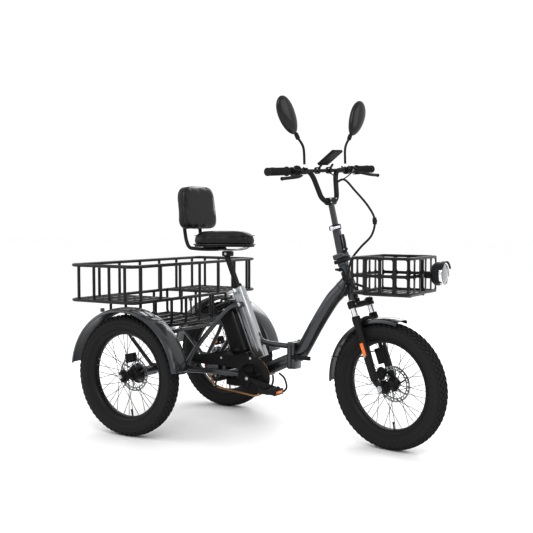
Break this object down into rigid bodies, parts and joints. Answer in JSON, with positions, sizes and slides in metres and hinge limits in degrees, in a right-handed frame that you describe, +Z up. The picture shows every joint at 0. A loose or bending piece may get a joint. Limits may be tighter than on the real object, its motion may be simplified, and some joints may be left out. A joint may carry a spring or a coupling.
{
  "type": "adult tricycle",
  "caption": "Folding electric adult tricycle with fat tyres, sprung fork, front and rear baskets, padded saddle with backrest, mirrors and a folding stem.",
  "frame": {"origin": "centre of the footprint on the ground, under the bounding box's middle", "axes": "+X forward along the longest side, +Y to the rider's left across the axle, +Z up"},
  "size_m": [1.7008, 0.997, 1.5323],
  "materials": {
    "graphite_paint": "glossy graphite grey metallic paint",
    "black_paint": "semi-gloss black powder coat",
    "black_plastic": "matt moulded black plastic",
    "vinyl": "smooth black vinyl with a soft sheen",
    "tyre_rubber": "matt black rubber with block tread",
    "grip_rubber": "matt black grip rubber",
    "chrome": "polished chrome",
    "steel": "plain machined steel",
    "copper_chain": "copper-coloured roller chain",
    "lamp_glass": "clear moulded lens"
  },
  "bodies": {
    "rear_half": {"rear_frame": "graphite_paint", "drive_motor": "black_paint", "differential_case": "black_paint", "rear_caliper_right": "black_paint", "rear_caliper_left": "black_paint", "rear_fender_right": "graphite_paint", "rear_fender_left": "graphite_paint", "battery_pack": "black_plastic", "controller_box": "black_plastic", "chain_guard": "black_plastic", "chain": "copper_chain", "fold_stand": "black_paint", "rear_basket": "black_paint", "hinge_pin": "steel"},
    "wheel_rear_right": {"rear_tyre_right": "tyre_rubber", "rear_rim_right": "black_paint", "rear_hub_right": "black_paint"},
    "wheel_rear_left": {"rear_tyre_left": "tyre_rubber", "rear_rim_left": "black_paint", "rear_hub_left": "black_paint"},
    "crank": {"crank_spindle": "steel", "crank_arm_right": "black_paint", "crank_arm_left": "black_paint"},
    "pedal_r": {"pedal_right": "black_plastic"},
    "pedal_l": {"pedal_left": "black_plastic"},
    "sprocket": {"rear_sprocket": "steel"},
    "derailleur_arm": {"derailleur": "black_plastic"},
    "seat": {"seat_post": "black_paint", "saddle_base": "black_plastic", "saddle_pad": "vinyl", "backrest_frame": "black_paint", "backrest_pad": "vinyl"},
    "seat_clamp": {"seat_clamp_lever": "chrome"},
    "front_half": {"front_frame": "graphite_paint", "front_basket": "black_paint", "headlight_body": "black_paint", "headlight_lens": "lamp_glass", "cable_bundle": "black_plastic"},
    "frame_latch": {"frame_latch_lever": "black_paint"},
    "steering": {"fork_crown": "graphite_paint", "stem_base": "black_paint"},
    "fork_lower": {"fork_lowers": "black_paint", "front_fender": "graphite_paint", "front_caliper": "black_paint"},
    "wheel_front": {"front_tyre": "tyre_rubber", "front_rim": "black_paint", "front_hub": "black_paint"},
    "stem": {"stem_tube": "graphite_paint"},
    "stem_latch": {"stem_latch_lever": "black_paint"},
    "bar": {"handlebar_post": "graphite_paint", "handlebar": "black_paint", "grip_right": "grip_rubber", "grip_left": "grip_rubber"},
    "post_clamp": {"post_clamp_lever": "black_plastic"},
    "brake_r": {"brake_lever_right": "black_paint"},
    "brake_l": {"brake_lever_left": "black_paint"},
    "mirror_r": {"mirror_right": "black_plastic"},
    "mirror_l": {"mirror_left": "black_plastic"},
    "shifter": {"shift_lever": "black_plastic"},
    "display": {"display_unit": "black_plastic"}
  },
  "joints": [
    {"name": "rear_wheel_right_spin", "type": "hinge", "parent": "rear_half", "child": "wheel_rear_right", "pos_m": [-0.54141, -0.395, 0.276], "axis": [0, 1, 0], "continuous": true},
    {"name": "rear_wheel_left_spin", "type": "hinge", "parent": "rear_half", "child": "wheel_rear_left", "pos_m": [-0.54141, 0.395, 0.276], "axis": [0, 1, 0], "continuous": true},
    {"name": "crank_spin", "type": "hinge", "parent": "rear_half", "child": "crank", "pos_m": [-0.07941, 0, 0.262], "axis": [0, 1, 0], "continuous": true},
    {"name": "sprocket_spin", "type": "hinge", "parent": "rear_half", "child": "sprocket", "pos_m": [-0.30641, -0.062, 0.285], "axis": [0, 1, 0], "continuous": true},
    {"name": "pedal_right_spin", "type": "hinge", "parent": "crank", "child": "pedal_r", "pos_m": [0.08199, -0.163, 0.2277], "axis": [0, 1, 0], "continuous": true},
    {"name": "pedal_left_spin", "type": "hinge", "parent": "crank", "child": "pedal_l", "pos_m": [-0.2408, 0.163, 0.2963], "axis": [0, 1, 0], "continuous": true},
    {"name": "derailleur_swing", "type": "hinge", "parent": "rear_half", "child": "derailleur_arm", "pos_m": [-0.27341, -0.0725, 0.252], "axis": [0, 1, 0], "range_deg": [-12, 14], "stiffness_Nm_per_rad": 0.6},
    {"name": "seat_height", "type": "slide", "parent": "rear_half", "child": "seat", "axis": [-0.3907, 0, 0.9205], "range_m": [-0.07, 0.04]},
    {"name": "seat_clamp_open", "type": "hinge", "parent": "rear_half", "child": "seat_clamp", "pos_m": [-0.19672, -0.04, 0.65395], "axis": [-0.3907, 0, 0.9205], "range_deg": [0, 120]},
    {"name": "frame_fold", "type": "hinge", "parent": "rear_half", "child": "front_half", "pos_m": [0.10509, 0.044, 0.37], "axis": [0, 0, -1], "range_deg": [-100, 0]},
    {"name": "frame_latch_open", "type": "hinge", "parent": "front_half", "child": "frame_latch", "pos_m": [0.12509, -0.0445, 0.368], "axis": [0, 0, -1], "range_deg": [0, 120]},
    {"name": "steer", "type": "hinge", "parent": "front_half", "child": "steering", "pos_m": [0.38059, 0, 0.713], "axis": [-0.3256, 0, 0.9455], "range_deg": [-35, 55], "deforming": ["cable_bundle"]},
    {"name": "fork_travel", "type": "slide", "parent": "steering", "child": "fork_lower", "axis": [-0.3256, 0, 0.9455], "range_m": [0, 0.035], "stiffness_N_per_m": 8000, "springref_m": -0.04},
    {"name": "front_wheel_spin", "type": "hinge", "parent": "fork_lower", "child": "wheel_front", "pos_m": [0.57797, -0.00765, 0.27579], "axis": [0.1609, 0.9854, 0.0554], "continuous": true},
    {"name": "stem_fold", "type": "hinge", "parent": "steering", "child": "stem", "pos_m": [0.35136, 0.0335, 0.81568], "axis": [-0.9317, 0.1702, -0.3208], "range_deg": [0, 105]},
    {"name": "stem_latch_open", "type": "hinge", "parent": "stem", "child": "stem_latch", "pos_m": [0.36616, -0.00577, 0.8575], "axis": [0.1609, 0.9854, 0.0554], "range_deg": [0, 100]},
    {"name": "bar_height", "type": "slide", "parent": "stem", "child": "bar", "axis": [-0.218, -0.0193, 0.9758], "range_m": [-0.05, 0.03]},
    {"name": "post_clamp_open", "type": "hinge", "parent": "stem", "child": "post_clamp", "pos_m": [0.31382, -0.03364, 0.94569], "axis": [0.218, 0.0193, -0.9758], "range_deg": [0, 120]},
    {"name": "brake_right_pull", "type": "hinge", "parent": "bar", "child": "brake_r", "pos_m": [0.25366, -0.21364, 1.18131], "axis": [0.0045, 0.0554, -0.9985], "range_deg": [0, 12], "stiffness_Nm_per_rad": 4, "springref_deg": -2.86},
    {"name": "brake_left_pull", "type": "hinge", "parent": "bar", "child": "brake_l", "pos_m": [0.31964, 0.19038, 1.20403], "axis": [-0.0045, -0.0554, 0.9985], "range_deg": [0, 12], "stiffness_Nm_per_rad": 4, "springref_deg": -2.86},
    {"name": "mirror_right_swivel", "type": "hinge", "parent": "bar", "child": "mirror_r", "pos_m": [0.23404, -0.13592, 1.20958], "axis": [-0.0045, -0.0554, 0.9985], "range_deg": [-30, 30]},
    {"name": "mirror_left_swivel", "type": "hinge", "parent": "bar", "child": "mirror_l", "pos_m": [0.28151, 0.15478, 1.22592], "axis": [-0.0045, -0.0554, 0.9985], "range_deg": [-30, 30]},
    {"name": "shift_push", "type": "hinge", "parent": "bar", "child": "shifter", "pos_m": [0.22573, -0.18638, 1.19272], "axis": [0.1609, 0.9854, 0.0554], "range_deg": [0, 25], "stiffness_Nm_per_rad": 0.8, "springref_deg": -2.86},
    {"name": "display_tilt", "type": "hinge", "parent": "bar", "child": "display", "pos_m": [0.25496, -0.00784, 1.21728], "axis": [0.1609, 0.9854, 0.0554], "range_deg": [-20, 20]}
  ],
  "couplings": [
    {"joint": "sprocket_spin", "follows": "crank_spin", "ratio": 2.4444}
  ]
}
